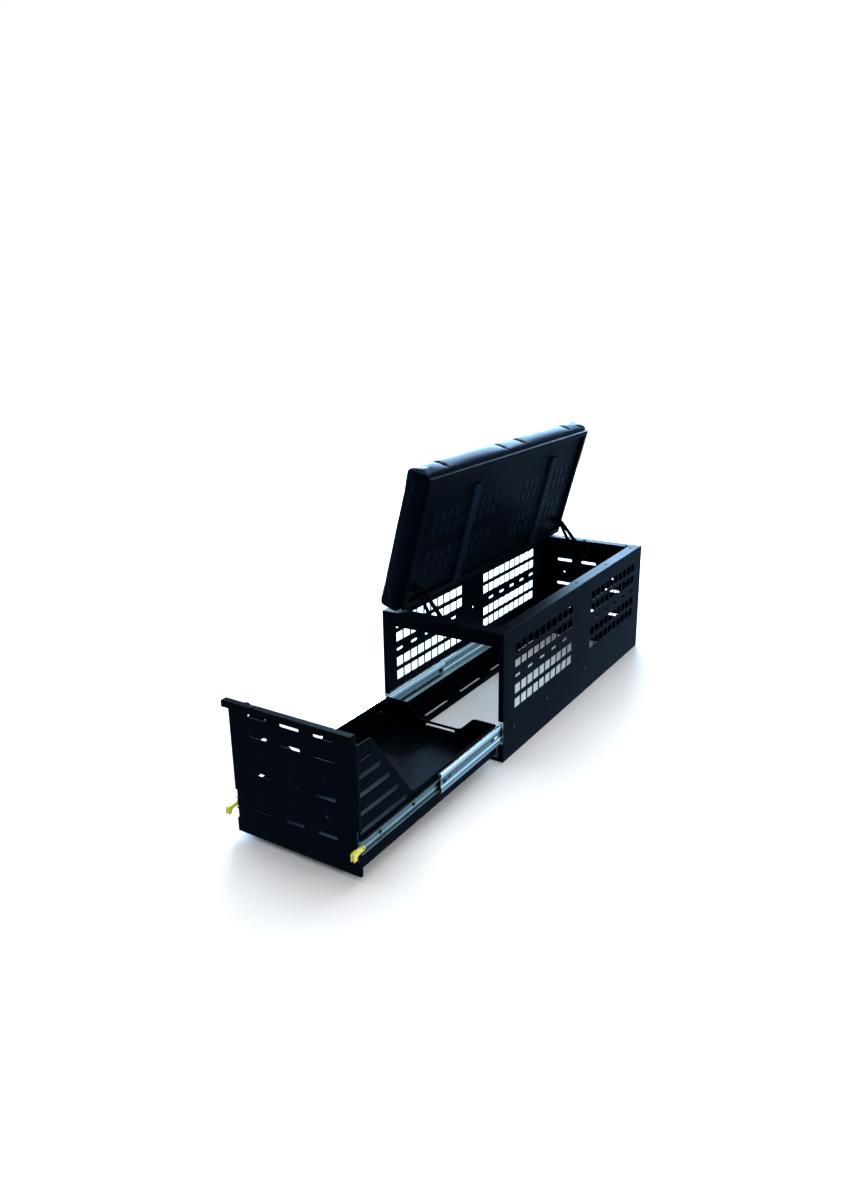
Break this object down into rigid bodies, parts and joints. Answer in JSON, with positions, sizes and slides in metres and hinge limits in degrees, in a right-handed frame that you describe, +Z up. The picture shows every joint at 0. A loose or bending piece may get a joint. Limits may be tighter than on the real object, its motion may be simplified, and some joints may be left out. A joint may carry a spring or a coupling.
{
  "type": "cargo slide",
  "caption": "Open-fronted perforated steel cabinet with a long drawer on full-extension locking slides and a cushioned lid that swings up sideways on bar stays.",
  "frame": {"origin": "on the floor under the middle of the front sill's underside flange", "axes": "+X to the right seen from the front, +Y from the cabinet's front to its rear (the drawer pulls out along -Y), +Z up"},
  "size_m": [0.4866, 2.0842, 0.9696],
  "materials": {
    "black_paint": "satin black powder coat",
    "zinc": "bright zinc plate",
    "fastener": "dark plated",
    "rail": "dark satin",
    "yellow_plastic": "satin",
    "vinyl": "soft navy-black vinyl over foam",
    "rubber": "matt"
  },
  "bodies": {
    "cabinet": {"side_panel_left": "black_paint", "side_panel_right": "black_paint", "front_header": "black_paint", "front_sill": "black_paint", "rear_panel": "black_paint", "lid_buffer_1": "rubber", "lid_buffer_2": "rubber", "slide_outer_left": "zinc", "slide_outer_right": "zinc", "slide_bolt_left_1": "fastener", "slide_bolt_left_2": "fastener", "slide_bolt_left_3": "fastener", "slide_bolt_right_1": "fastener", "slide_bolt_right_2": "fastener", "slide_bolt_right_3": "fastener", "stay_bracket_front": "black_paint", "stay_bracket_rear": "black_paint", "stay_pin_front": "fastener", "stay_pin_rear": "fastener", "rocker_pin_front": "fastener", "rocker_pin_rear": "fastener"},
    "drawer": {"drawer_side_left": "black_paint", "drawer_side_right": "black_paint", "drawer_floor": "black_paint", "drawer_rear": "black_paint", "drawer_front": "black_paint", "drawer_handle": "rail", "handle_stud": "fastener", "slide_inner_left": "zinc", "slide_inner_right": "zinc", "slide_screw_left_1": "fastener", "slide_screw_left_2": "fastener", "slide_screw_left_3": "fastener", "slide_screw_right_1": "fastener", "slide_screw_right_2": "fastener", "slide_screw_right_3": "fastener", "lever_pin_left": "fastener", "lever_pin_right": "fastener"},
    "slide_middles": {"slide_middle_left": "zinc", "slide_middle_right": "zinc", "slide_catch_left": "rubber", "slide_catch_right": "rubber"},
    "lock_lever_left": {"lock_lever_left": "yellow_plastic"},
    "lock_lever_right": {"lock_lever_right": "yellow_plastic"},
    "lid_cranks": {"lid_crank_front": "black_paint", "lid_crank_rear": "black_paint"},
    "lid": {"lid_pan": "black_paint", "lid_strap_front": "black_paint", "lid_strap_rear": "black_paint", "lid_bracket_front": "black_paint", "lid_bracket_rear": "black_paint", "crank_pin_front": "fastener", "crank_pin_rear": "fastener", "lid_pin_front": "fastener", "lid_pin_rear": "fastener", "cushion": "vinyl"},
    "lid_rockers": {"lid_rocker_front": "black_paint", "lid_rocker_rear": "black_paint"}
  },
  "joints": [
    {"name": "drawer_travel", "type": "slide", "parent": "cabinet", "child": "drawer", "axis": [0, -1, 0], "range_m": [-0.762, 0]},
    {"name": "middle_travel", "type": "slide", "parent": "cabinet", "child": "slide_middles", "axis": [0, -1, 0], "range_m": [-0.381, 0]},
    {"name": "lever_left", "type": "hinge", "parent": "drawer", "child": "lock_lever_left", "pos_m": [-0.2248, -0.789, 0.1015], "axis": [1, 0, 0], "range_deg": [0, 6], "stiffness_Nm_per_rad": 0.2, "springref_deg": -11.46},
    {"name": "lever_right", "type": "hinge", "parent": "drawer", "child": "lock_lever_right", "pos_m": [0.2248, -0.789, 0.1015], "axis": [1, 0, 0], "range_deg": [0, 6], "stiffness_Nm_per_rad": 0.2, "springref_deg": -11.46},
    {"name": "crank_swing", "type": "hinge", "parent": "cabinet", "child": "lid_cranks", "pos_m": [-0.07589, 0.607, 0.44807], "axis": [0, 1, 0], "range_deg": [-59.57, 0]},
    {"name": "lid_swing", "type": "hinge", "parent": "lid_cranks", "child": "lid", "pos_m": [-0.1248, 0.607, 0.53359], "axis": [0, 1, 0], "range_deg": [0, 134.6]},
    {"name": "rocker_swing", "type": "hinge", "parent": "cabinet", "child": "lid_rockers", "pos_m": [0.00548, 0.607, 0.40081], "axis": [0, 1, 0], "range_deg": [-38.5, 0]}
  ],
  "couplings": [
    {"joint": "middle_travel", "follows": "drawer_travel", "ratio": 0.5},
    {"joint": "lid_swing", "follows": "crank_swing", "ratio": -2.2589},
    {"joint": "rocker_swing", "follows": "crank_swing", "ratio": 0.64581}
  ]
}
